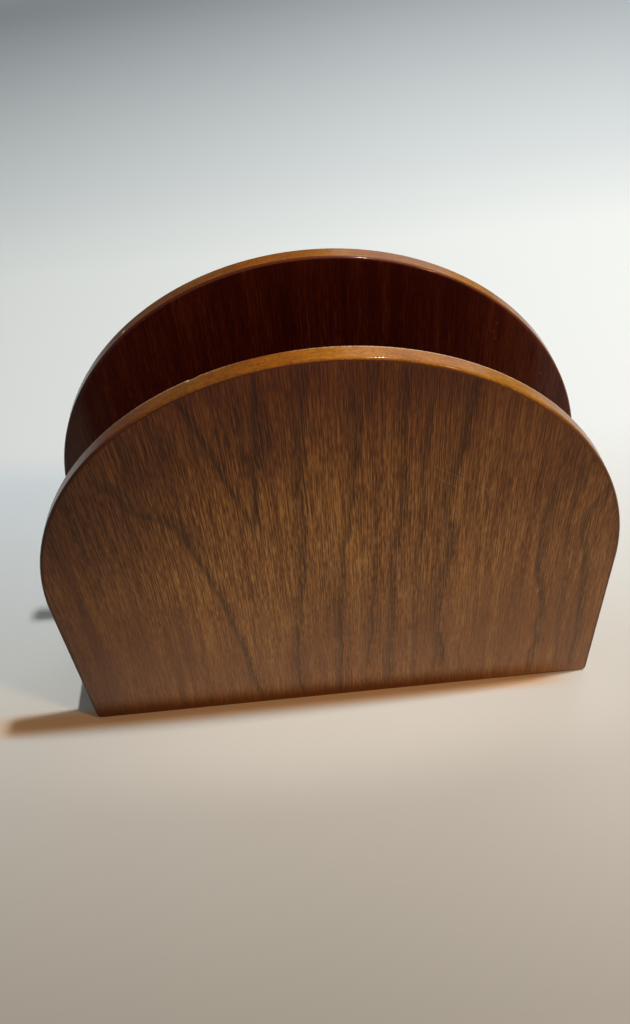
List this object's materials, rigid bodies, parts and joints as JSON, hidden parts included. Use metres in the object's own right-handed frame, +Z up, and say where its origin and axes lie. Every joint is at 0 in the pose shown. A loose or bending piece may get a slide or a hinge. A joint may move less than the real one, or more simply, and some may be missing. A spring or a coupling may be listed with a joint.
{
  "type": "napkin holder",
  "caption": "Upright wooden napkin holder: arched flat panels face each other across an open slot and are glued to a solid base block.",
  "frame": {"origin": "centre of the footprint, on the surface that the holder stands on", "axes": "+X along the width of the panels, +Y from the front panel to the back panel, +Z up"},
  "size_m": [0.165, 0.0476, 0.136],
  "materials": {
    "walnut_veneer_face": "satin lacquer over walnut veneer, grain upright",
    "walnut_veneer_slot": "satin lacquer over redder walnut veneer, grain upright",
    "ply_core": "satin lacquer over the sanded edge of an amber core ply",
    "walnut_solid": "satin lacquer over solid walnut, grain along X"
  },
  "bodies": {
    "root": {"front_outer_veneer": "walnut_veneer_face", "front_core": "ply_core", "front_inner_veneer": "walnut_veneer_slot", "back_inner_veneer": "walnut_veneer_slot", "back_core": "ply_core", "back_outer_veneer": "walnut_veneer_face", "base_block": "walnut_solid"}
  },
  "joints": []
}
